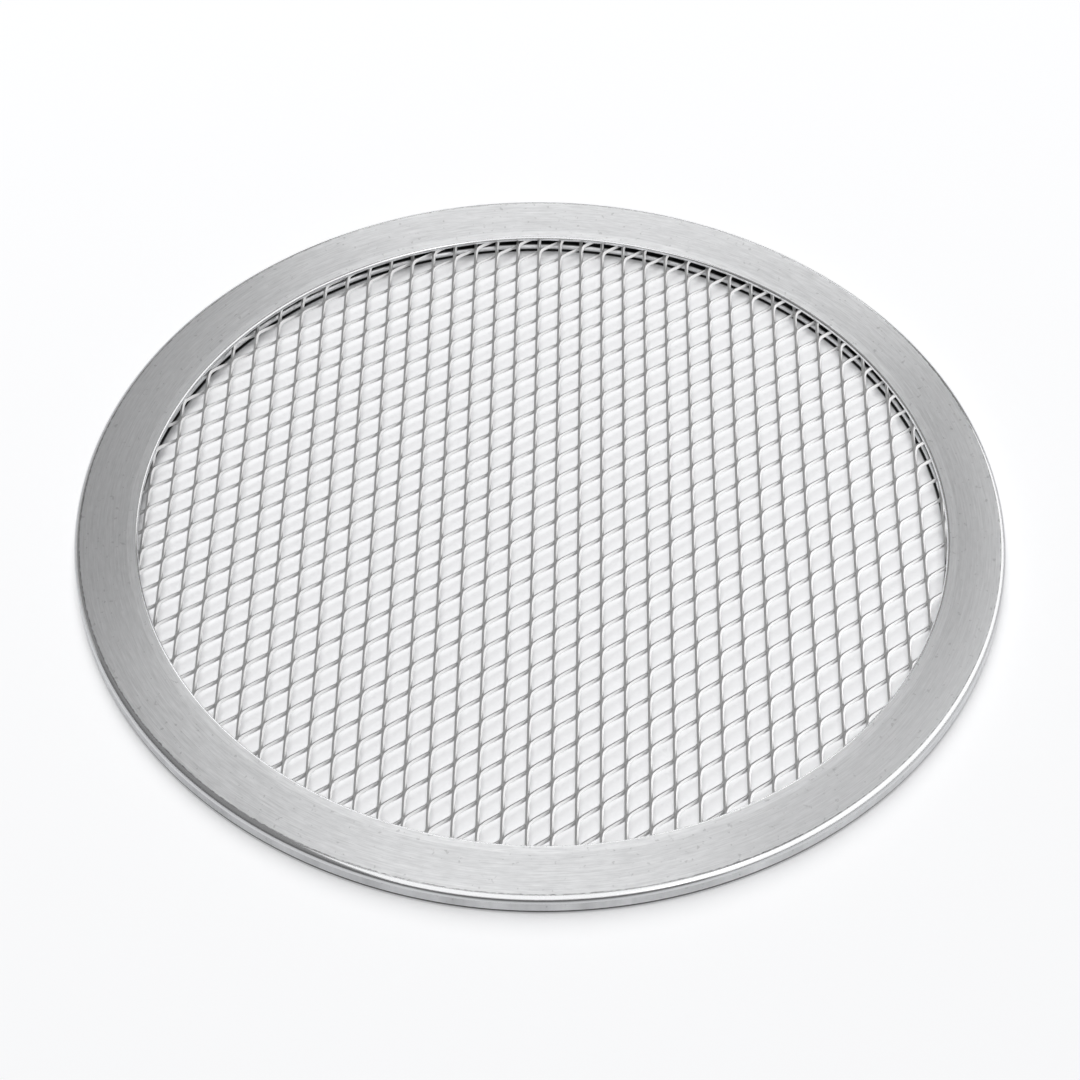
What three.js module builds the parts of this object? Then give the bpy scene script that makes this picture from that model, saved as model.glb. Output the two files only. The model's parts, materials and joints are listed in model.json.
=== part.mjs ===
// Round pizza screen: a disc of raised expanded metal held in a folded channel rim.
// Millimetres, +Z up. The origin is on the table, under the middle of the disc.
// X runs along the long way of the mesh openings, Y along the short way.

import * as THREE from "three";

// Rim sizes
const OUTER_DIAMETER = 254;
const TOP_FLANGE_WIDTH = 16.6;
const BOTTOM_FLANGE_WIDTH = 15;
const SHEET_THICKNESS = 1.75;
const FOLD_RADIUS = 1.8;
const LIP_RADIUS = 0.8;

// Mesh sizes: the openings repeat every LONG_WAY along X and every SHORT_WAY along Y
const LONG_WAY = 14;
const SHORT_WAY = 7;
const STRAND_WIDTH = 1.3;
const STRAND_THICKNESS = 1.2;
const STRAND_TILT = THREE.MathUtils.degToRad(52);
const BOND_LENGTH = 1.6;

// The disc is cut anywhere from the sheet, so the bond nearest its middle lies a little off it
const FIRST_BOND_X = 4.5;
const FIRST_BOND_Y = 0.3;

// Fits: the mesh reaches MESH_GRIP past the upper lip and lies CLEARANCE from both flanges
const MESH_GRIP = 3.5;
const CLEARANCE = 0.3;

// Facets
const RIM_SEGMENTS = 80;
const FOLD_STEPS = 3;
const EDGE_STEPS = 1;

// Finish
const ALUMINIUM = { color: 0xc9cacd, metalness: 1 };
const BRUSHED_ROUGHNESS = 0.32;
const MILL_ROUGHNESS = 0.4;

// Sizes that follow from those above
const OUTER_RADIUS = OUTER_DIAMETER / 2;
const TOP_LIP_RADIUS = OUTER_RADIUS - TOP_FLANGE_WIDTH;
const BOTTOM_LIP_RADIUS = OUTER_RADIUS - BOTTOM_FLANGE_WIDTH;
const MESH_RADIUS = TOP_LIP_RADIUS + MESH_GRIP;
const SHORTEST_STUB = BOND_LENGTH;
const MESH_DROP = STRAND_WIDTH * Math.sin(STRAND_TILT);
const MESH_RISE = Math.max(MESH_DROP, STRAND_THICKNESS * Math.cos(STRAND_TILT));
const MESH_LEVEL = SHEET_THICKNESS + CLEARANCE + MESH_DROP;
const RIM_HEIGHT = MESH_LEVEL + MESH_RISE + CLEARANCE + SHEET_THICKNESS;

// Points of a quarter round about (r, z), from one angle in degrees to another.
function quarterRound(r, z, radius, fromDegrees, toDegrees, steps) {
  const points = [];
  for (let step = 0; step <= steps; step += 1) {
    const degrees = THREE.MathUtils.lerp(fromDegrees, toDegrees, step / steps);
    const angle = THREE.MathUtils.degToRad(degrees);
    points.push(new THREE.Vector2(r + radius * Math.cos(angle), z + radius * Math.sin(angle)));
  }
  return points;
}

// The rim is one sheet folded into a channel that opens towards the middle.
function rimGeometry() {
  const channelHeight = RIM_HEIGHT - 2 * SHEET_THICKNESS;
  const fold = Math.min(FOLD_RADIUS, RIM_HEIGHT / 2);
  const innerFold = THREE.MathUtils.clamp(fold - SHEET_THICKNESS, 0, channelHeight / 2);
  const lip = Math.min(LIP_RADIUS, SHEET_THICKNESS / 2);
  const ceiling = RIM_HEIGHT - SHEET_THICKNESS;
  const foldAxis = OUTER_RADIUS - fold;
  const innerAxis = OUTER_RADIUS - SHEET_THICKNESS - innerFold;
  const profile = [
    ...quarterRound(foldAxis, fold, fold, -90, 0, FOLD_STEPS),
    ...quarterRound(foldAxis, RIM_HEIGHT - fold, fold, 0, 90, FOLD_STEPS),
    ...quarterRound(TOP_LIP_RADIUS + lip, RIM_HEIGHT - lip, lip, 90, 180, EDGE_STEPS),
    new THREE.Vector2(TOP_LIP_RADIUS, ceiling),
    ...quarterRound(innerAxis, ceiling - innerFold, innerFold, 90, 0, EDGE_STEPS),
    ...quarterRound(innerAxis, SHEET_THICKNESS + innerFold, innerFold, 0, -90, EDGE_STEPS),
    new THREE.Vector2(BOTTOM_LIP_RADIUS, SHEET_THICKNESS),
    ...quarterRound(BOTTOM_LIP_RADIUS + lip, lip, lip, 180, 270, EDGE_STEPS),
  ];
  profile.push(profile[0].clone());
  const geometry = new THREE.LatheGeometry(profile, RIM_SEGMENTS);
  geometry.rotateX(Math.PI / 2);
  return geometry;
}

// Middle of the bond at a column and row of the mesh. Only places where column + row is even hold one.
function bondCentre(column, row) {
  const x = FIRST_BOND_X + (column * LONG_WAY) / 2;
  const y = FIRST_BOND_Y + (row * SHORT_WAY) / 2;
  return new THREE.Vector3(x, y, MESH_LEVEL);
}

// A bond is where two strands stay joined. Its flat underside leans by STRAND_TILT between a lower
// edge and an upper edge, with a crotch of an opening at each end and a ridge over the middle.
function bondPoints(column, row) {
  const centre = bondCentre(column, row);
  const across = new THREE.Vector3(0, Math.cos(STRAND_TILT), Math.sin(STRAND_TILT));
  const outward = new THREE.Vector3(0, -Math.sin(STRAND_TILT), Math.cos(STRAND_TILT));
  const along = new THREE.Vector3(1, 0, 0);
  return {
    upper: centre.clone().addScaledVector(across, STRAND_WIDTH),
    lower: centre.clone().addScaledVector(across, -STRAND_WIDTH),
    ahead: centre.clone().addScaledVector(along, BOND_LENGTH / 2),
    behind: centre.clone().addScaledVector(along, -BOND_LENGTH / 2),
    ridge: centre.clone().addScaledVector(outward, STRAND_THICKNESS),
  };
}

// Share of a strand that is left when the disc's edge cuts it, a stub's length short of the next bond
// at most.
function shareToEdge(from, to) {
  const run = new THREE.Vector2(to.x - from.x, to.y - from.y);
  const start = new THREE.Vector2(from.x, from.y);
  const forward = start.dot(run) / run.lengthSq();
  const reach = (MESH_RADIUS ** 2 - start.lengthSq()) / run.lengthSq();
  return Math.min(Math.sqrt(forward ** 2 + reach) - forward, 1 - SHORTEST_STUB / run.length());
}

// Points and triangles of one closed surface.
class Surface {
  constructor() {
    this.positions = [];
    this.triangles = [];
  }

  addPoint(point) {
    this.positions.push(point.x, point.y, point.z);
    return this.positions.length / 3 - 1;
  }

  addTriangle(a, b, c, turned) {
    this.triangles.push(a, turned ? c : b, turned ? b : c);
  }

  // The three sides between two triangular sections of a strand.
  addSides(near, far, turned) {
    for (let side = 0; side < 3; side += 1) {
      const next = (side + 1) % 3;
      this.addTriangle(near[side], near[next], far[next], turned);
      this.addTriangle(near[side], far[next], far[side], turned);
    }
  }

  toGeometry() {
    const geometry = new THREE.BufferGeometry();
    geometry.setAttribute("position", new THREE.Float32BufferAttribute(this.positions, 3));
    geometry.setIndex(this.triangles);
    geometry.computeVertexNormals();
    return geometry;
  }
}

// The section where a strand leaves one bond, and the section where it reaches the next. An edge of
// one bond runs to a crotch of the other, and ridge runs to ridge.
function strandSections(nearBond, farBond, stepX, stepY) {
  const [nearEdge, farEdge] = stepY > 0 ? ["upper", "lower"] : ["lower", "upper"];
  const [nearCrotch, farCrotch] = stepX > 0 ? ["ahead", "behind"] : ["behind", "ahead"];
  return {
    near: [nearBond[nearEdge], nearBond[nearCrotch], nearBond.ridge],
    far: [farBond[farCrotch], farBond[farEdge], farBond.ridge],
  };
}

// Bonds that lie inside the disc, by column and row, with the numbers of their points on the surface.
function placeBonds(surface) {
  const bonds = new Map();
  const columns = Math.ceil((MESH_RADIUS + Math.abs(FIRST_BOND_X)) / (LONG_WAY / 2));
  const rows = Math.ceil((MESH_RADIUS + Math.abs(FIRST_BOND_Y)) / (SHORT_WAY / 2));
  for (let column = -columns; column <= columns; column += 1) {
    for (let row = -rows; row <= rows; row += 1) {
      const centre = bondCentre(column, row);
      const inside = Math.hypot(centre.x, centre.y) < MESH_RADIUS - SHORTEST_STUB;
      if (inside && (column + row) % 2 === 0) {
        const corners = {};
        for (const [name, point] of Object.entries(bondPoints(column, row))) {
          corners[name] = surface.addPoint(point);
        }
        bonds.set(`${column},${row}`, { column, row, corners });
      }
    }
  }
  return bonds;
}

// A strand that the edge of the disc cuts off, with a flat end.
function addStub(surface, bond, stepX, stepY, turned) {
  const { column, row, corners } = bond;
  const outside = [column + stepX, row + stepY];
  const share = shareToEdge(bondCentre(column, row), bondCentre(...outside));
  const path = strandSections(bondPoints(column, row), bondPoints(...outside), stepX, stepY);
  const end = [];
  for (let corner = 0; corner < 3; corner += 1) {
    const point = path.near[corner].clone().lerp(path.far[corner], share);
    end.push(surface.addPoint(point));
  }
  surface.addSides(strandSections(corners, corners, stepX, stepY).near, end, turned);
  surface.addTriangle(...end, turned);
}

// The mesh is one sheet, slit and stretched: every bond carries four strands. Strands that slope one
// way mirror those that slope the other way, so the faces of one kind are turned round.
function meshGeometry() {
  const surface = new Surface();
  const bonds = placeBonds(surface);
  for (const bond of bonds.values()) {
    const { upper, lower, ahead, behind } = bond.corners;
    surface.addTriangle(upper, ahead, lower, false);
    surface.addTriangle(upper, lower, behind, false);
    for (const stepX of [1, -1]) {
      for (const stepY of [1, -1]) {
        const turned = stepX === stepY;
        const neighbour = bonds.get(`${bond.column + stepX},${bond.row + stepY}`);
        if (!neighbour) {
          addStub(surface, bond, stepX, stepY, turned);
        } else if (stepX > 0) {
          const strand = strandSections(bond.corners, neighbour.corners, stepX, stepY);
          surface.addSides(strand.near, strand.far, turned);
        }
      }
    }
  }
  return surface.toGeometry();
}

function subPart(name, geometry, roughness) {
  const material = new THREE.MeshStandardMaterial({ ...ALUMINIUM, roughness });
  const mesh = new THREE.Mesh(geometry, material);
  mesh.name = name;
  return mesh;
}

const pizzaScreen = new THREE.Group();
pizzaScreen.name = "pizza_screen";
pizzaScreen.add(subPart("rim", rimGeometry(), BRUSHED_ROUGHNESS));
pizzaScreen.add(subPart("mesh", meshGeometry(), MILL_ROUGHNESS));

export default pizzaScreen;
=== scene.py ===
"""Round pizza screen: a disc of expanded metal mesh held in a folded, brushed rim.

Metres, +Z up. X runs along the long way of the mesh openings, Y along the short way.
"""

import json
import math

import bmesh
import bpy
from bpy.props import FloatProperty, FloatVectorProperty, IntProperty, PointerProperty
from mathutils import Matrix, Vector

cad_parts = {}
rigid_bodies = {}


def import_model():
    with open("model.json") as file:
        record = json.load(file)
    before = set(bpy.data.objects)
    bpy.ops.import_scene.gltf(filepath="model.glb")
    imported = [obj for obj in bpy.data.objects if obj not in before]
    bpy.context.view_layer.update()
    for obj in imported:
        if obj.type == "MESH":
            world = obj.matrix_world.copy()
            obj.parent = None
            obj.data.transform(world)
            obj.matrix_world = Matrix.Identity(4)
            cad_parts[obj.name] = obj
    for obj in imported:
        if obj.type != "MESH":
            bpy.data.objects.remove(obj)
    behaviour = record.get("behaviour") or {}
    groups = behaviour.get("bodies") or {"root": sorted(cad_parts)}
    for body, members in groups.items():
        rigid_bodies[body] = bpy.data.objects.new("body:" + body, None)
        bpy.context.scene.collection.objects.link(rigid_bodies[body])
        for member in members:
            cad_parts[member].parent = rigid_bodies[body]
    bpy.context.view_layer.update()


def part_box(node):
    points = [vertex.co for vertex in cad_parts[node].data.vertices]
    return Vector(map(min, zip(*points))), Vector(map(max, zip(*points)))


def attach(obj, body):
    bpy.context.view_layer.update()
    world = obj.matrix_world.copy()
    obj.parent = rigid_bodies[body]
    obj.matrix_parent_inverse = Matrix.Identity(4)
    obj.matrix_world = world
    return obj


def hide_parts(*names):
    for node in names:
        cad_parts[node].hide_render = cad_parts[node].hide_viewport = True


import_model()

bl_info = {
    "name": "Pizza Screen",
    "version": (1, 0, 0),
    "blender": (4, 5, 0),
    "location": "View3D > Sidebar > Pizza Screen",
    "description": "Models a round pizza screen: expanded metal mesh in a brushed, folded rim",
    "category": "Add Mesh",
}

RIM_PIECE = "rim_shell"
MESH_PIECE = "mesh_strands"
RIM_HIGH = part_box("rim")[1]
MESH_LOW, MESH_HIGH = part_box("mesh")

# Modelling: steps of the rounded parts, and the sharpest corner that is shaded smooth
FOLD_STEPS = 9
LIP_STEPS = 4
RIM_SMOOTH_ANGLE = math.radians(40)
MESH_SMOOTH_ANGLE = math.radians(35)

# The round cutter that the mesh is trimmed with, and how close points are when they count as one
CUTTER_SIDES = 128
CUTTER_DEPTH = 0.02
MERGE_DISTANCE = 1e-5

# Mesh: direction of the long way, how squarely an end face looks along it, and where drift is measured
ALONG = Vector((1, 0, 0))
END_FACING = 0.9
DRIFT_REACH = 0.1


class RimSettings(bpy.types.PropertyGroup):
    """Sizes and finish of the folded rim."""

    outer_radius: FloatProperty(
        name="Outer radius", description="From the middle to the outside of the fold",
        default=RIM_HIGH.x, unit="LENGTH", precision=5)
    height: FloatProperty(
        name="Height", description="From the table to the top of the rim",
        default=RIM_HIGH.z, unit="LENGTH", precision=5)
    top_lip_radius: FloatProperty(
        name="Upper lip radius", description="From the middle to the edge of the upper flange",
        default=0.1104, unit="LENGTH", precision=5)
    bottom_lip_radius: FloatProperty(
        name="Lower lip radius", description="From the middle to the edge of the lower flange",
        default=0.1116, unit="LENGTH", precision=5)
    sheet: FloatProperty(
        name="Sheet", description="Thickness of the folded sheet",
        default=0.00175, unit="LENGTH", precision=5)
    fold_radius: FloatProperty(
        name="Fold radius", description="Outside radius of the two folds",
        default=0.0018, unit="LENGTH", precision=5)
    lip_rounding: FloatProperty(
        name="Lip rounding", description="Radius worn on the edges of both lips",
        default=0.0008, unit="LENGTH", precision=5)
    # The band beside the upper lip is only made lighter; its roughness stays that of the sanded rest
    lip_band: FloatProperty(
        name="Lip band", description="Width beside the upper lip that is sanded less",
        default=0.0027, unit="LENGTH", precision=5)
    lip_shift: FloatVectorProperty(
        name="Lip shift", description="How far the upper lip lies off the middle of the rim",
        default=(-0.00029, 0.00057), size=2, unit="LENGTH", precision=5)
    sanded_edge: FloatProperty(
        name="Sanded edge", description="How far in from the outside the brushed finish stops",
        default=0.00145, unit="LENGTH", precision=5)
    turns: IntProperty(
        name="Turns", description="Facets round the rim", default=240, min=24)
    colour: FloatVectorProperty(
        name="Colour", description="Colour of the aluminium",
        default=(0.82, 0.825, 0.835), subtype="COLOR", min=0, max=1)


class MeshSettings(bpy.types.PropertyGroup):
    """Sizes and finish of the expanded metal mesh."""

    long_way: FloatProperty(
        name="Long way", description="Pitch of the openings along X",
        default=0.014, unit="LENGTH", precision=5)
    short_way: FloatProperty(
        name="Short way", description="Pitch of the openings along Y",
        default=0.007, unit="LENGTH", precision=5)
    strand_width: FloatProperty(
        name="Strand width", description="Width that is cut for one strand",
        default=0.00078, unit="LENGTH", precision=5)
    strand_thickness: FloatProperty(
        name="Strand thickness", description="Thickness of the sheet that is cut",
        default=0.00092, unit="LENGTH", precision=5)
    strand_tilt: FloatProperty(
        name="Strand tilt", description="Lean of the strands, from flat",
        default=math.radians(33), subtype="ANGLE")
    bond_length: FloatProperty(
        name="Bond length", description="Length along X over which two strands stay joined",
        default=0.0007, unit="LENGTH", precision=5)
    corner_rounding: FloatProperty(
        name="Corner rounding", description="How gently a strand bends away from a bond",
        default=0.0008, unit="LENGTH", precision=5)
    first_bond: FloatVectorProperty(
        name="First bond", description="Place of the bond nearest the middle",
        default=(0.0045, 0.0003), size=2, unit="LENGTH", precision=5)
    drift: FloatVectorProperty(
        name="Drift", description="How far the openings stray along one slope, 100 mm from the middle",
        default=(0.0022, 0.0056, 0.0021), size=3, unit="LENGTH", precision=5)
    radius: FloatProperty(
        name="Radius", description="From the middle to the cut edge, inside the rim",
        default=0.1139, unit="LENGTH", precision=5)
    level: FloatProperty(
        name="Level", description="Height of the middle of the bonds",
        default=(MESH_LOW.z + MESH_HIGH.z) / 2, unit="LENGTH", precision=5)
    strand_steps: IntProperty(
        name="Strand steps", description="Pieces that a strand is bent from", default=5, min=2)
    colour: FloatVectorProperty(
        name="Colour", description="Colour of the aluminium",
        default=(0.9, 0.905, 0.915), subtype="COLOR", min=0, max=1)


class StageSettings(bpy.types.PropertyGroup):
    """Camera, floor and the room's light."""

    azimuth: FloatProperty(
        name="Azimuth", description="Direction that the camera looks in, 0 along +Y",
        default=math.radians(117), subtype="ANGLE")
    elevation: FloatProperty(
        name="Elevation", description="Height of the camera above the horizon",
        default=math.radians(48.76), subtype="ANGLE")
    roll: FloatProperty(
        name="Roll", description="Turn of the camera about its own line of sight",
        default=math.radians(0.5), subtype="ANGLE")
    distance: FloatProperty(
        name="Distance", description="From the camera to the point it looks at",
        default=0.82, unit="LENGTH")
    lens: FloatProperty(
        name="Lens", description="Focal length, in millimetres", default=99.32, unit="CAMERA")
    sensor: FloatProperty(
        name="Sensor", description="Width of the sensor, in millimetres", default=36.0, unit="CAMERA")
    aim_right: FloatProperty(
        name="Aim right", description="How far right of the middle the camera looks",
        default=-0.00004, unit="LENGTH", precision=5)
    aim_up: FloatProperty(
        name="Aim up", description="How far above the middle, in the picture, the camera looks",
        default=-0.00312, unit="LENGTH", precision=5)
    floor_size: FloatProperty(
        name="Floor size", description="Side of the square floor", default=6.0, unit="LENGTH")
    floor_colour: FloatVectorProperty(
        name="Floor colour", description="Colour of the floor",
        default=(0.9, 0.905, 0.92), subtype="COLOR", min=0, max=1)
    horizon_light: FloatProperty(
        name="Horizon light", description="Strength of the room's light near the horizon", default=0.11)
    sky_light: FloatProperty(
        name="Sky light", description="Strength of the room's light from above", default=0.25)


def select_only(piece):
    bpy.ops.object.select_all(action="DESELECT")
    piece.select_set(True)
    bpy.context.view_layer.objects.active = piece


def name_piece(piece, name):
    piece.name = name
    piece.data.name = name
    return piece


def pick(piece, kind, wanted):
    """Selects, in edit mode, each vertex, edge or face that wanted says yes to."""
    bpy.ops.mesh.select_mode(type=kind)
    bpy.ops.mesh.select_all(action="DESELECT")
    shape = bmesh.from_edit_mesh(piece.data)
    elements = {"VERT": shape.verts, "EDGE": shape.edges, "FACE": shape.faces}[kind]
    for element in elements:
        if wanted(element):
            element.select_set(True)
    bmesh.update_edit_mesh(piece.data)


def apply_modifier(piece, kind, **settings):
    modifier = piece.modifiers.new(kind.title(), kind)
    for setting, value in settings.items():
        setattr(modifier, setting, value)
    bpy.ops.object.modifier_apply(modifier=modifier.name)


def quarter_round(radius_at, height_at, size, start):
    """Points of a quarter round in the rim's section, from a start angle in degrees."""
    points = []
    for step in range(FOLD_STEPS + 1):
        angle = math.radians(start + 90 * step / FOLD_STEPS)
        points.append((radius_at + size * math.cos(angle), height_at + size * math.sin(angle)))
    return points


def rim_outline(sizes):
    """Radius and height along the outside of the sheet, from the lower lip to the upper lip."""
    fold = sizes.fold_radius
    axis = sizes.outer_radius - fold
    return [
        (sizes.bottom_lip_radius, 0.0),
        *quarter_round(axis, fold, fold, -90),
        *quarter_round(axis, sizes.height - fold, fold, 0),
        (sizes.top_lip_radius, sizes.height),
    ]


def fold_rim(sizes):
    """Draws a ring out along the section and gives it the sheet's thickness."""
    outline = rim_outline(sizes)
    radius, height = outline[0]
    bpy.ops.object.select_all(action="DESELECT")
    bpy.ops.mesh.primitive_circle_add(vertices=sizes.turns, radius=radius, fill_type="NOTHING")
    rim = name_piece(bpy.context.object, RIM_PIECE)
    bpy.ops.object.mode_set(mode="EDIT")
    bpy.ops.mesh.select_all(action="SELECT")
    for next_radius, next_height in outline[1:]:
        rise = (0, 0, next_height - height)
        bpy.ops.mesh.extrude_region_move(TRANSFORM_OT_translate={"value": rise})
        share = next_radius / radius
        bpy.ops.transform.resize(value=(share, share, 1), center_override=(0, 0, 0))
        radius, height = next_radius, next_height
    bpy.ops.mesh.select_all(action="SELECT")
    bpy.ops.mesh.remove_doubles(threshold=MERGE_DISTANCE)
    bpy.ops.mesh.normals_make_consistent(inside=False)
    bpy.ops.object.mode_set(mode="OBJECT")
    apply_modifier(rim, "SOLIDIFY", thickness=sizes.sheet, offset=-1.0, use_even_offset=True)
    return rim


def finish_lips(rim, sizes):
    """Rounds both lips and moves the upper one off the middle."""
    lip_reach = max(sizes.top_lip_radius, sizes.bottom_lip_radius) + MERGE_DISTANCE

    def is_lip_edge(edge):
        first, second = (vertex.co for vertex in edge.verts)
        level = abs(first.z - second.z) < MERGE_DISTANCE
        return level and max(first.xy.length, second.xy.length) < lip_reach

    def is_upper_lip(vertex):
        near_lip = vertex.co.xy.length < sizes.top_lip_radius + 2 * sizes.lip_rounding
        return near_lip and vertex.co.z > sizes.height / 2

    bpy.ops.object.mode_set(mode="EDIT")
    pick(rim, "EDGE", is_lip_edge)
    bpy.ops.mesh.bevel(offset=sizes.lip_rounding, segments=LIP_STEPS, affect="EDGES")
    pick(rim, "VERT", is_upper_lip)
    bpy.ops.transform.translate(value=(*sizes.lip_shift, 0))
    bpy.ops.object.mode_set(mode="OBJECT")
    bpy.ops.object.shade_smooth_by_angle(angle=RIM_SMOOTH_ANGLE)


def bond_axes(sizes):
    """Middle of the bond, the direction across its leaning strands and the one out of their faces."""
    tilt = sizes.strand_tilt
    centre = Vector((0, 0, sizes.level))
    across = Vector((0, math.cos(tilt), math.sin(tilt)))
    outward = Vector((0, -math.sin(tilt), math.cos(tilt)))
    return centre, across, outward


def start_bond(sizes):
    """A short bar with the section of two strands side by side, left in edit mode."""
    centre, across, outward = bond_axes(sizes)
    lean = Matrix((outward, across, -ALONG)).transposed().to_euler()
    near_end = centre - ALONG * (sizes.bond_length / 2)
    bpy.ops.object.select_all(action="DESELECT")
    bpy.ops.mesh.primitive_plane_add(size=1, location=near_end, rotation=lean)
    bond = name_piece(bpy.context.object, MESH_PIECE)
    bond.scale = (sizes.strand_thickness, 2 * sizes.strand_width, 1)
    bpy.ops.object.transform_apply(location=True, rotation=True, scale=True)
    bpy.ops.object.mode_set(mode="EDIT")
    bpy.ops.mesh.select_all(action="SELECT")
    bpy.ops.mesh.bisect(plane_co=centre, plane_no=across)
    bpy.ops.mesh.select_all(action="SELECT")
    bpy.ops.mesh.extrude_region_move(TRANSFORM_OT_translate={"value": ALONG * sizes.bond_length})
    return bond


def strand_path(sizes):
    """Steps of a strand that bends out of its bond: how far along X, and what share of the climb."""
    run = sizes.long_way / 2 - sizes.bond_length
    bend = sizes.corner_rounding
    places = []
    for step in range(sizes.strand_steps + 1):
        along = run * step / sizes.strand_steps
        climb = (math.hypot(along, bend) - bend) / (math.hypot(run, bend) - bend)
        places.append((along, climb))
    return places


def draw_strand(bond, sizes, side, path):
    """Draws a strand out of the bond's far end, to the side of +Y or -Y, and leaves its end open."""
    centre, across, _ = bond_axes(sizes)
    climb = Vector((0, sizes.short_way / 2, 0)) - across * sizes.strand_width

    def is_strand_end(face):
        middle = face.calc_center_median() - centre
        at_far_end = middle.x > sizes.bond_length / 2 - MERGE_DISTANCE
        return at_far_end and middle.dot(across) * side > 0 and abs(face.normal.x) > END_FACING

    pick(bond, "FACE", is_strand_end)
    for (last_x, last_share), (next_x, next_share) in zip(path, path[1:]):
        move = ALONG * (next_x - last_x) + climb * side * (next_share - last_share)
        bpy.ops.mesh.extrude_region_move(TRANSFORM_OT_translate={"value": move})
    bpy.ops.mesh.delete(type="ONLY_FACE")


def model_bond(sizes):
    """One bond and the two strands that leave its far end, open where the next copies join on."""
    bond = start_bond(sizes)
    rising = strand_path(sizes)
    run = rising[-1][0]
    falling = [(run - x, 1 - share) for x, share in reversed(rising)]
    draw_strand(bond, sizes, 1, rising)
    draw_strand(bond, sizes, -1, falling)
    pick(bond, "FACE", lambda face: abs(face.normal.x) > END_FACING)
    bpy.ops.mesh.delete(type="ONLY_FACE")
    bpy.ops.mesh.select_all(action="SELECT")
    bpy.ops.mesh.normals_make_consistent(inside=False)
    bpy.ops.object.mode_set(mode="OBJECT")
    return bond


def spread_bonds(strands, sizes):
    """Copies the bond over the whole disc, along both slopes of the strands."""
    slopes = [Vector((sizes.long_way, lean * sizes.short_way, 0)) / 2 for lean in (1, -1)]
    reach = math.ceil(sizes.radius / sizes.long_way + sizes.radius / sizes.short_way) + 1
    bpy.ops.object.mode_set(mode="EDIT")
    bpy.ops.mesh.select_all(action="SELECT")
    start = Vector((*sizes.first_bond, 0)) - (slopes[0] + slopes[1]) * reach
    bpy.ops.transform.translate(value=start)
    bpy.ops.object.mode_set(mode="OBJECT")
    for slope in slopes:
        apply_modifier(
            strands, "ARRAY", count=2 * reach + 1, use_relative_offset=False,
            use_constant_offset=True, constant_offset_displace=slope)
    bpy.ops.object.mode_set(mode="EDIT")
    bpy.ops.mesh.select_all(action="SELECT")
    bpy.ops.mesh.remove_doubles(threshold=MERGE_DISTANCE)
    bpy.ops.mesh.fill_holes(sides=0)
    bpy.ops.mesh.select_all(action="SELECT")
    bpy.ops.mesh.normals_make_consistent(inside=False)
    bpy.ops.object.mode_set(mode="OBJECT")


def stray(strands, sizes):
    """Lets the openings stray along one slope of the strands, as in a sheet fed a little askew."""
    slope = Vector((sizes.long_way, sizes.short_way, 0)).normalized()
    for vertex in strands.data.vertices:
        x, y = vertex.co.xy / DRIFT_REACH
        vertex.co += slope * Vector(sizes.drift).dot((x * x, x * y, y * y))


def trim_to_disc(strands, sizes):
    """Cuts the mesh to a round blank and drops the scraps that the cut leaves loose."""
    bpy.ops.object.select_all(action="DESELECT")
    bpy.ops.mesh.primitive_cylinder_add(
        vertices=CUTTER_SIDES, radius=sizes.radius, depth=CUTTER_DEPTH, location=(0, 0, sizes.level))
    cutter = bpy.context.object
    select_only(strands)
    apply_modifier(strands, "BOOLEAN", operation="INTERSECT", solver="MANIFOLD", object=cutter)
    bpy.data.objects.remove(cutter)
    bpy.ops.object.mode_set(mode="EDIT")
    pick(strands, "VERT", lambda vertex: vertex.co.xy.length < sizes.long_way / 2)
    bpy.ops.mesh.select_linked()
    bpy.ops.mesh.select_all(action="INVERT")
    bpy.ops.mesh.delete(type="VERT")
    bpy.ops.object.mode_set(mode="OBJECT")
    bpy.ops.object.shade_smooth_by_angle(angle=MESH_SMOOTH_ANGLE)


def add_node(tree, kind, inputs=None, **settings):
    """Adds a node; an input is a plain value, or another node's output to link."""
    node = tree.nodes.new(kind)
    for setting, value in settings.items():
        setattr(node, setting, value)
    for key, value in (inputs or {}).items():
        if isinstance(value, bpy.types.NodeSocket):
            tree.links.new(value, node.inputs[key])
        else:
            node.inputs[key].default_value = value
    return node


def add_math(tree, operation, first, second=0.0, clamp=False):
    node = add_node(tree, "ShaderNodeMath", {0: first, 1: second}, operation=operation, use_clamp=clamp)
    return node.outputs[0]


def add_vector(tree, operation, first, second=(0, 0, 0)):
    """A sum with vectors that gives a vector."""
    node = add_node(tree, "ShaderNodeVectorMath", {0: first, 1: second}, operation=operation)
    return node.outputs["Vector"]


def add_measure(tree, operation, first, second=(0, 0, 0)):
    """A sum with vectors that gives a number: a length, a distance or a reach along one of them."""
    node = add_node(tree, "ShaderNodeVectorMath", {0: first, 1: second}, operation=operation)
    return node.outputs["Value"]


def add_scaled(tree, first, scale):
    """A vector or a colour, times a number."""
    node = add_node(tree, "ShaderNodeVectorMath", {0: first, "Scale": scale}, operation="SCALE")
    return node.outputs["Vector"]


def add_range(tree, value, low, high, to_low, to_high):
    """Carries a value from one range over to another, and holds it at that range's ends."""
    inputs = {"Value": value, "From Min": low, "From Max": high, "To Min": to_low, "To Max": to_high}
    return add_node(tree, "ShaderNodeMapRange", inputs).outputs["Result"]


def add_fade(tree, value, start, width, to_low, to_high):
    """One level up to where a fade starts, and another past its width."""
    return add_range(tree, value, start, start + width, to_low, to_high)


def add_blend(tree, share, first, second):
    """The first number where the share is 0, and the second where it is 1."""
    return add_node(tree, "ShaderNodeMix", {0: share, 2: first, 3: second}).outputs[0]


def add_band(tree, value, low, high, fade):
    """1 where a value lies between low and high, fading out on both sides."""
    rise = add_range(tree, value, low - fade, low, 0.0, 1.0)
    fall = add_range(tree, value, high, high + fade, 1.0, 0.0)
    return add_math(tree, "MULTIPLY", rise, fall)


# Most of a noise texture's values lie between these two
NOISE_LOW = 0.3
NOISE_HIGH = 0.7


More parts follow.
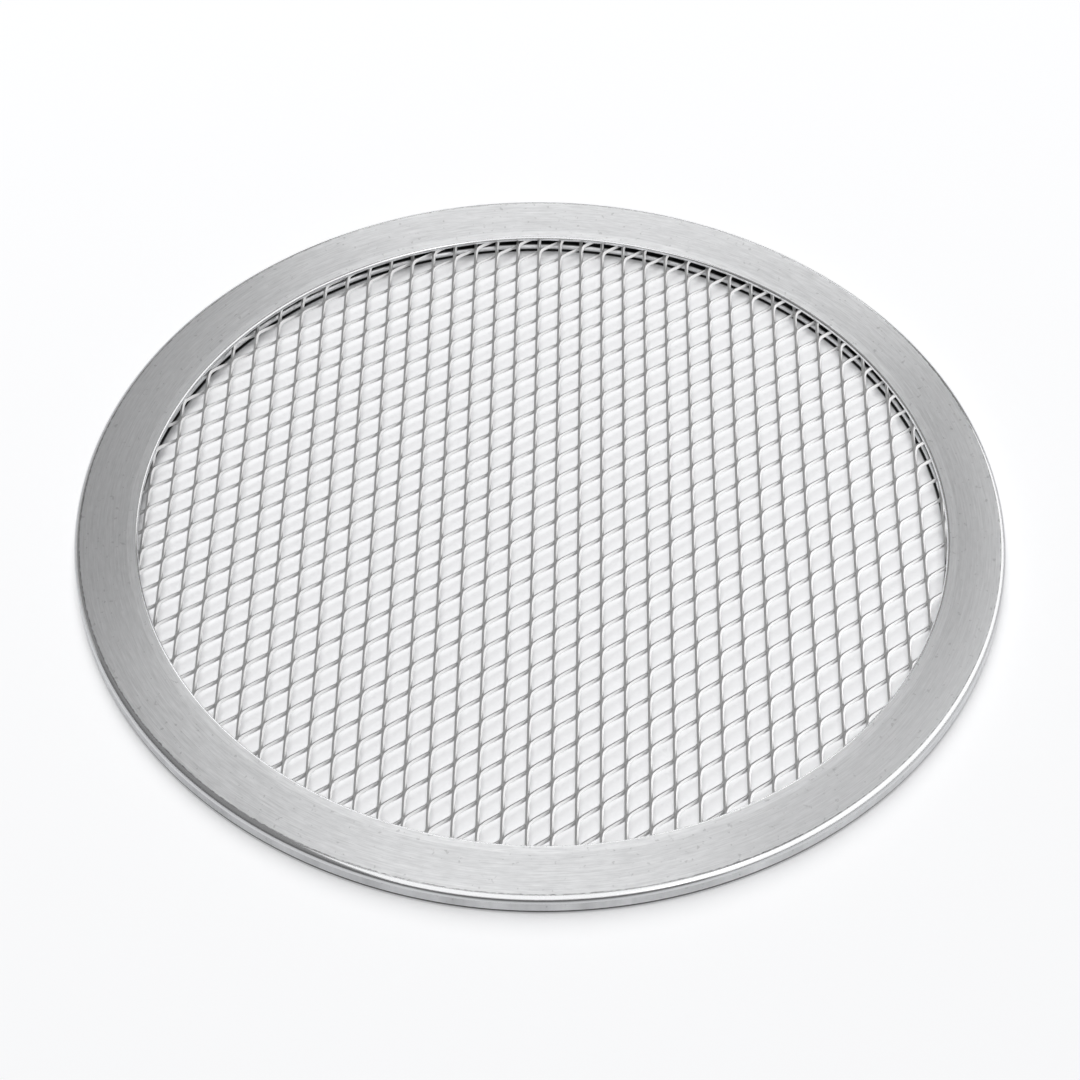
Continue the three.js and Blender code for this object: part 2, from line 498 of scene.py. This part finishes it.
def add_noise(tree, where, scale, detail, roughness=0.5):
    inputs = {"Vector": where, "Scale": scale, "Detail": detail, "Roughness": roughness}
    return add_node(tree, "ShaderNodeTexNoise", inputs).outputs["Fac"]


def spread_noise(tree, noise, to_low, to_high):
    """Spreads a noise texture's usual values over a range."""
    return add_range(tree, noise, NOISE_LOW, NOISE_HIGH, to_low, to_high)


def new_material(name):
    material = bpy.data.materials.new(name)
    material.use_nodes = True
    shader = material.node_tree.nodes["Principled BSDF"]
    return material, material.node_tree, shader


def dress_metal(tree, shader, colour, shade, roughness):
    """Bare metal whose shade and roughness change from place to place."""
    tree.links.new(add_scaled(tree, tuple(colour), shade), shader.inputs["Base Color"])
    tree.links.new(roughness, shader.inputs["Roughness"])
    shader.inputs["Metallic"].default_value = 1.0


def add_bump(tree, shader, height, strength, depth):
    inputs = {"Height": height, "Strength": strength, "Distance": depth}
    tree.links.new(add_node(tree, "ShaderNodeBump", inputs).outputs[0], shader.inputs["Normal"])


# Sanding marks: changes round the rim, lines for each metre across it, and share of the whole
SANDING_MARKS = ((12.0, 4000.0, 0.6), (30.0, 1200.0, 0.4))
MARK_DETAIL = 3.0
MARK_ROUGHNESS = 0.6
MARK_STRENGTH = 0.25
MARK_DEPTH = 0.00006

# Nicks: noise that darkens the rim in spots where it is high, and makes the sanding line faint where low
NICKS_A_METRE = 700.0
NICK_DETAIL = 2.0
NICK_FROM = 0.66
NICK_FULL = 0.72
LINE_FAINT_AT = 0.35
LINE_FULL_AT = 0.65
LINE_FAINT = 0.25

# Zones of the rim: where each starts or stops beside the rim's own sizes, and how far it fades
EDGE_WAVER = 0.00006
EDGE_FADE = 0.0001
LINE_INSIDE = 0.0001
LINE_OUTSIDE = 0.00005
LINE_FADE = 0.00012
WALL_FOOT = 0.0006
WALL_HEAD = 0.0004
WALL_FADE = 0.0003
LIP_FADE = 0.0004
CHANNEL_MOUTH = 0.0006
CHANNEL_BACK = 0.001
CHANNEL_FADE = 0.0001

# Finish of the zones, and the channel's painted shade: shades as shares of the aluminium's colour,
# roughness and stretch of the gloss
SANDED_SHADES = (0.82, 1.12)
NICK_SHADE = 0.8
LIP_SHADE = 1.1
BARE_SHADE = 1.05
LINE_SHADE = 0.4
CHANNEL_PAINTED_SHADE = 0.06
SANDED_ROUGHNESS = (0.42, 0.3)
BARE_ROUGHNESS = 0.16
BARE_LEVEL = 0.5
SANDED_GLOSS_STRETCH = 0.85
ROUND_THE_RIM = 0.25


def sanding_marks(tree, flat, radius):
    """Fine and coarse scratches that run round the rim."""
    spoke = add_vector(tree, "NORMALIZE", flat)
    marks = 0.0
    for turns, lines, share in SANDING_MARKS:
        ring = add_node(tree, "ShaderNodeCombineXYZ", {"Z": add_math(tree, "MULTIPLY", radius, lines)})
        where = add_vector(tree, "ADD", add_scaled(tree, spoke, turns), ring.outputs[0])
        noise = add_noise(tree, where, 1.0, MARK_DETAIL, MARK_ROUGHNESS)
        marks = add_math(tree, "ADD", marks, add_math(tree, "MULTIPLY", noise, share))
    return marks


def bare_zone(tree, sizes, height, ragged, lip_radius):
    """Sheet that no sanding reaches: the fold, apart from its upright wall, and the worn lip."""
    edge = sizes.outer_radius - sizes.sanded_edge
    wall_top = sizes.height - sizes.fold_radius - WALL_HEAD
    worn_lip = sizes.top_lip_radius + sizes.lip_rounding
    wall = add_band(tree, height, WALL_FOOT, wall_top, WALL_FADE)
    fold = add_range(tree, ragged, edge - EDGE_FADE, edge + EDGE_FADE, 0.0, 1.0)
    fold = add_math(tree, "MULTIPLY", fold, add_math(tree, "SUBTRACT", 1.0, wall))
    lip = add_range(tree, lip_radius, worn_lip - LIP_FADE, worn_lip, 1.0, 0.0)
    return add_math(tree, "ADD", fold, lip, clamp=True)


def line_zone(tree, sizes, ragged, nicks):
    """The dark, broken line where the sanding stops."""
    edge = sizes.outer_radius - sizes.sanded_edge
    line = add_band(tree, ragged, edge - LINE_INSIDE, edge + LINE_OUTSIDE, LINE_FADE)
    breaks = add_range(tree, nicks, LINE_FAINT_AT, LINE_FULL_AT, LINE_FAINT, 1.0)
    return add_math(tree, "MULTIPLY", line, breaks)


def lip_zone(tree, sizes, lip_radius):
    """The band beside the upper lip, which is made lighter than the rest."""
    worn_lip = sizes.top_lip_radius + sizes.lip_rounding
    return add_band(tree, lip_radius, worn_lip, sizes.top_lip_radius + sizes.lip_band, LIP_FADE)


def painted_shade_in_channel(tree, sizes, height, lip_radius):
    """Painted shade inside the channel, where the folded sheet keeps out the light."""
    mouth = sizes.top_lip_radius + CHANNEL_MOUTH
    back = sizes.outer_radius - CHANNEL_BACK
    between = add_band(tree, height, sizes.sheet, sizes.height - sizes.sheet, CHANNEL_FADE)
    return add_math(tree, "MULTIPLY", between, add_band(tree, lip_radius, mouth, back, LIP_FADE))


def brushed_aluminium(sizes):
    """Aluminium sanded round the rim, with bare sheet on the fold and the lip, and painted shade inside
    the channel.
    """
    material, tree, shader = new_material("brushed_rim")
    place = add_node(tree, "ShaderNodeTexCoord").outputs["Object"]
    split = add_node(tree, "ShaderNodeSeparateXYZ", {0: place}).outputs
    flat = add_node(tree, "ShaderNodeCombineXYZ", {"X": split["X"], "Y": split["Y"]}).outputs[0]
    radius = add_measure(tree, "LENGTH", flat)
    lip_radius = add_measure(tree, "DISTANCE", flat, (*sizes.lip_shift, 0))
    marks = sanding_marks(tree, flat, radius)
    nicks = add_noise(tree, place, NICKS_A_METRE, NICK_DETAIL)
    ragged = add_math(tree, "ADD", radius, spread_noise(tree, nicks, -EDGE_WAVER, EDGE_WAVER))
    bare = bare_zone(tree, sizes, split["Z"], ragged, lip_radius)
    line = line_zone(tree, sizes, ragged, nicks)
    lip = lip_zone(tree, sizes, lip_radius)
    channel = painted_shade_in_channel(tree, sizes, split["Z"], lip_radius)
    pits = add_range(tree, nicks, NICK_FROM, NICK_FULL, 1.0, NICK_SHADE)
    shade = add_math(tree, "MULTIPLY", spread_noise(tree, marks, *SANDED_SHADES), pits)
    shade = add_math(tree, "MULTIPLY", shade, add_range(tree, lip, 0.0, 1.0, 1.0, LIP_SHADE))
    shade = add_blend(tree, bare, shade, BARE_SHADE)
    shade = add_blend(tree, line, shade, LINE_SHADE)
    # Painted shade: the inside of the channel, which the light hardly reaches, is darkened almost to
    # black
    shade = add_blend(tree, channel, shade, CHANNEL_PAINTED_SHADE)
    roughness = add_blend(tree, bare, spread_noise(tree, marks, *SANDED_ROUGHNESS), BARE_ROUGHNESS)
    dress_metal(tree, shader, sizes.colour, shade, roughness)
    add_bump(tree, shader, add_blend(tree, bare, marks, BARE_LEVEL), MARK_STRENGTH, MARK_DEPTH)
    tangent = add_node(tree, "ShaderNodeTangent", direction_type="RADIAL", axis="Z")
    tree.links.new(tangent.outputs[0], shader.inputs["Tangent"])
    shader.inputs["Anisotropic"].default_value = SANDED_GLOSS_STRETCH
    shader.inputs["Anisotropic Rotation"].default_value = ROUND_THE_RIM
    return material


# Mill finish of the mesh
GRAINS_A_METRE = 900.0
GRAIN_DETAIL = 3.0
GRAIN_SHADES = (0.9, 1.05)
GRAIN_ROUGHNESS = (0.1, 0.18)
GRAIN_STRENGTH = 0.2
GRAIN_DEPTH = 0.0001


def mill_aluminium(sizes):
    """Rolled aluminium with a fine grain."""
    material, tree, shader = new_material("mill_mesh")
    place = add_node(tree, "ShaderNodeTexCoord").outputs["Object"]
    grain = add_noise(tree, place, GRAINS_A_METRE, GRAIN_DETAIL)
    shade = spread_noise(tree, grain, *GRAIN_SHADES)
    roughness = spread_noise(tree, grain, *GRAIN_ROUGHNESS)
    dress_metal(tree, shader, sizes.colour, shade, roughness)
    add_bump(tree, shader, grain, GRAIN_STRENGTH, GRAIN_DEPTH)
    return material


# Soft lamps: name, place as the camera sees it (right, away, up), size, watts and what each lights
LAMPS = (
    ("overhead_lamp", (-0.24, 1.4, 3.8), (1.8, 2.4), 12.5, "rim"),
    ("back_lamp", (0.25, 2.7, 1.2), (1.8, 1.4), 11.5, "rim"),
    ("right_lamp", (0.62, -0.05, 0.42), (2.0, 0.8), 4.8, "rim"),
    ("left_lamp", (-1.0, 0.95, 0.25), (1.6, 0.4), 0.8, "metal"),
    ("fold_lamp", (0.0, -0.9, 1.1), (1.6, 1.8), 7.5, "rim"),
    ("mesh_lamp", (0.65, -0.25, 0.17), (0.5, 0.3), 4.9, "mesh"),
    ("dome_lamp", (0.0, 0.3, 2.0), (3.6, 3.6), 8.0, "mesh"),
    ("floor_lamp", (-0.1, 1.1, 2.4), (1.4, 3.0), 42.0, "floor"),
)

# White that the floor shows beyond the lamps' light: through the mesh, less there as painted shade,
# round the rim and in the metal
SHADED_MESH_WHITE = 0.27
OPEN_WHITE = 0.36
MIRRORED_WHITE = 0.22

# Floor at the rim: how dark the painted contact shadow is, where each change starts beside the rim and
# how far it runs
PAINTED_CONTACT_SHADOW = 0.03
CONTACT_FADE = 0.0004
CONTACT_INSET = 0.0007
LIP_SHADOW = 0.0027
OPEN_INSET = 0.0008
OPEN_FADE = 0.001
MIRROR_START = 0.001
MIRROR_FADE = 0.007

# Floor in front of the object, which the metal mirrors darker
FRONT_SHADE = 0.2
FRONT_START = 0.003
FRONT_FADE = 0.02

# Rise of a line of sight up to which the room's light is the horizon's, and from which it is the sky's
HORIZON_RISE = 0.1
SKY_RISE = 0.6


def stage_point(settings, right, away, up):
    """A point given as the camera sees it: to the right, away from it and up, from the middle."""
    turn = Matrix.Rotation(settings.azimuth, 3, "Z")
    return turn @ Vector((right, away, up))


def white_floor(settings, rim):
    """Matt floor that the camera and the metal see as white, with the object's shadow on it, partly cast
    by the lamp and partly painted.
    """
    material, tree, shader = new_material("floor")
    place = add_node(tree, "ShaderNodeTexCoord").outputs["Object"]
    rays = add_node(tree, "ShaderNodeLightPath").outputs
    radius = add_measure(tree, "LENGTH", place)
    forward = add_measure(tree, "DOT_PRODUCT", place, tuple(stage_point(settings, 0, -1, 0)))
    inside = rim.bottom_lip_radius - CONTACT_FADE
    outside = rim.outer_radius
    # Painted contact shadow: the floor under the rim, from the lower lip to near the rim's foot, is
    # darkened almost to black
    contact = add_band(tree, radius, inside, outside - CONTACT_INSET, CONTACT_FADE)
    front = add_fade(tree, forward, outside + FRONT_START, FRONT_FADE, 1.0, FRONT_SHADE)
    shade = add_blend(tree, rays["Is Glossy Ray"], 1.0, front)
    shade = add_blend(tree, contact, shade, PAINTED_CONTACT_SHADOW)
    tree.links.new(add_scaled(tree, tuple(settings.floor_colour), shade), shader.inputs["Base Color"])
    # Painted shade: the floor through the mesh gets less white than the open floor, on top of the mesh's
    # cast shadow, and none towards the lower lip, a painted shadow under the lip
    under_mesh_shaded = add_fade(tree, radius, inside - LIP_SHADOW, LIP_SHADOW, SHADED_MESH_WHITE, 0.0)
    # Painted contact shadow: the open floor's white only starts at the rim's foot, so a dark line stays
    # along it
    open_floor = add_fade(tree, radius, outside - OPEN_INSET, OPEN_FADE, 0.0, OPEN_WHITE)
    seen = add_math(tree, "ADD", under_mesh_shaded, open_floor)
    seen = add_math(tree, "MULTIPLY", rays["Is Camera Ray"], seen)
    mirrored = add_fade(tree, radius, outside + MIRROR_START, MIRROR_FADE, MIRRORED_WHITE, 0.0)
    mirrored = add_math(tree, "MULTIPLY", front, mirrored)
    mirrored = add_math(tree, "MULTIPLY", rays["Is Glossy Ray"], mirrored)
    tree.links.new(add_math(tree, "ADD", seen, mirrored), shader.inputs["Emission Strength"])
    shader.inputs["Emission Color"].default_value = (1, 1, 1, 1)
    shader.inputs["Roughness"].default_value = 1.0
    shader.inputs["Specular IOR Level"].default_value = 0.0
    return material


def add_lamp(name, settings, place, size, watts):
    """A soft oblong lamp that faces the middle of the object."""
    data = bpy.data.lights.new(name, "AREA")
    data.shape = "RECTANGLE"
    data.size, data.size_y = size
    data.energy = watts
    lamp = bpy.data.objects.new(name, data)
    bpy.context.scene.collection.objects.link(lamp)
    lamp.location = stage_point(settings, *place)
    lamp.rotation_euler = (-lamp.location).to_track_quat("-Z", "Y").to_euler()
    return lamp


def lit_group(name, *pieces):
    """A collection that a lamp can be kept to."""
    group = bpy.data.collections.new("lit_" + name)
    for piece in pieces:
        group.objects.link(piece)
    return group


def add_camera(settings):
    """A camera that looks at the middle of the object, or a little beside it."""
    right = stage_point(settings, 1, 0, 0)
    back = stage_point(settings, 0, -math.cos(settings.elevation), math.sin(settings.elevation))
    up = back.cross(right)
    data = bpy.data.cameras.new("camera")
    data.lens = settings.lens
    data.sensor_width = settings.sensor
    camera = bpy.data.objects.new("camera", data)
    bpy.context.scene.collection.objects.link(camera)
    aim = right * settings.aim_right + up * settings.aim_up
    axes = Matrix((right, up, back)).transposed() @ Matrix.Rotation(settings.roll, 3, "Z")
    camera.matrix_world = Matrix.Translation(aim + back * settings.distance) @ axes.to_4x4()
    bpy.context.scene.camera = camera


def add_world(settings):
    """A room that is white to the camera and gives soft light, more of it from above."""
    world = bpy.data.worlds.new("studio")
    world.use_nodes = True
    bpy.context.scene.world = world
    tree = world.node_tree
    sight = add_node(tree, "ShaderNodeTexCoord").outputs["Generated"]
    rise = add_node(tree, "ShaderNodeSeparateXYZ", {0: sight}).outputs["Z"]
    light = add_range(tree, rise, HORIZON_RISE, SKY_RISE, settings.horizon_light, settings.sky_light)
    rays = add_node(tree, "ShaderNodeLightPath").outputs
    strength = add_blend(tree, rays["Is Camera Ray"], light, 1.0)
    background = tree.nodes["Background"]
    background.inputs["Color"].default_value = (1, 1, 1, 1)
    tree.links.new(strength, background.inputs["Strength"])


class SCREEN_OT_make_rim(bpy.types.Operator):
    """Model the folded rim and give it its brushed finish"""

    bl_idname = "screen.make_rim"
    bl_label = "Make rim"

    def execute(self, context):
        sizes = context.scene.screen_rim
        rim = fold_rim(sizes)
        finish_lips(rim, sizes)
        rim.data.materials.append(brushed_aluminium(sizes))
        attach(rim, "root")
        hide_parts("rim")
        return {"FINISHED"}


class SCREEN_OT_make_mesh(bpy.types.Operator):
    """Model the expanded metal mesh and give it its mill finish"""

    bl_idname = "screen.make_mesh"
    bl_label = "Make mesh"

    def execute(self, context):
        sizes = context.scene.screen_mesh
        strands = model_bond(sizes)
        spread_bonds(strands, sizes)
        stray(strands, sizes)
        trim_to_disc(strands, sizes)
        strands.data.materials.append(mill_aluminium(sizes))
        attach(strands, "root")
        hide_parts("mesh")
        return {"FINISHED"}


class SCREEN_OT_make_stage(bpy.types.Operator):
    """Set up the floor, the soft lamps, the camera and the room's light"""

    bl_idname = "screen.make_stage"
    bl_label = "Make stage"

    def execute(self, context):
        settings = context.scene.screen_stage
        bpy.ops.object.select_all(action="DESELECT")
        bpy.ops.mesh.primitive_plane_add(size=settings.floor_size)
        floor = name_piece(context.object, "floor")
        floor.data.materials.append(white_floor(settings, context.scene.screen_rim))
        rim = bpy.data.objects[RIM_PIECE]
        strands = bpy.data.objects[MESH_PIECE]
        groups = {
            "rim": lit_group("rim", rim),
            "mesh": lit_group("mesh", strands),
            "metal": lit_group("metal", rim, strands),
            "floor": lit_group("floor", floor),
        }
        for name, place, size, watts, lit in LAMPS:
            lamp = add_lamp(name, settings, place, size, watts)
            lamp.light_linking.receiver_collection = groups[lit]
        # This lamp is so low that the rim would keep it off the mesh
        bpy.data.objects["mesh_lamp"].light_linking.blocker_collection = groups["mesh"]
        add_camera(settings)
        add_world(settings)
        context.scene.view_settings.view_transform = "Standard"
        return {"FINISHED"}


class SCREEN_PT_sidebar(bpy.types.Panel):
    """Sizes of the pizza screen and the steps that make it"""

    bl_idname = "SCREEN_PT_sidebar"
    bl_label = "Pizza Screen"
    bl_space_type = "VIEW_3D"
    bl_region_type = "UI"
    bl_category = "Pizza Screen"

    def draw(self, context):
        sections = (
            (context.scene.screen_rim, "screen.make_rim"),
            (context.scene.screen_mesh, "screen.make_mesh"),
            (context.scene.screen_stage, "screen.make_stage"),
        )
        for settings, operator in sections:
            column = self.layout.box().column()
            for setting in type(settings).__annotations__:
                column.prop(settings, setting)
            column.operator(operator)


CLASSES = (
    RimSettings,
    MeshSettings,
    StageSettings,
    SCREEN_OT_make_rim,
    SCREEN_OT_make_mesh,
    SCREEN_OT_make_stage,
    SCREEN_PT_sidebar,
)


def register():
    for cls in CLASSES:
        bpy.utils.register_class(cls)
    bpy.types.Scene.screen_rim = PointerProperty(type=RimSettings)
    bpy.types.Scene.screen_mesh = PointerProperty(type=MeshSettings)
    bpy.types.Scene.screen_stage = PointerProperty(type=StageSettings)


def unregister():
    del bpy.types.Scene.screen_stage
    del bpy.types.Scene.screen_mesh
    del bpy.types.Scene.screen_rim
    for cls in reversed(CLASSES):
        bpy.utils.unregister_class(cls)


def main():
    register()
    bpy.ops.screen.make_rim()
    bpy.ops.screen.make_mesh()
    bpy.ops.screen.make_stage()


if __name__ == "__main__":
    main()
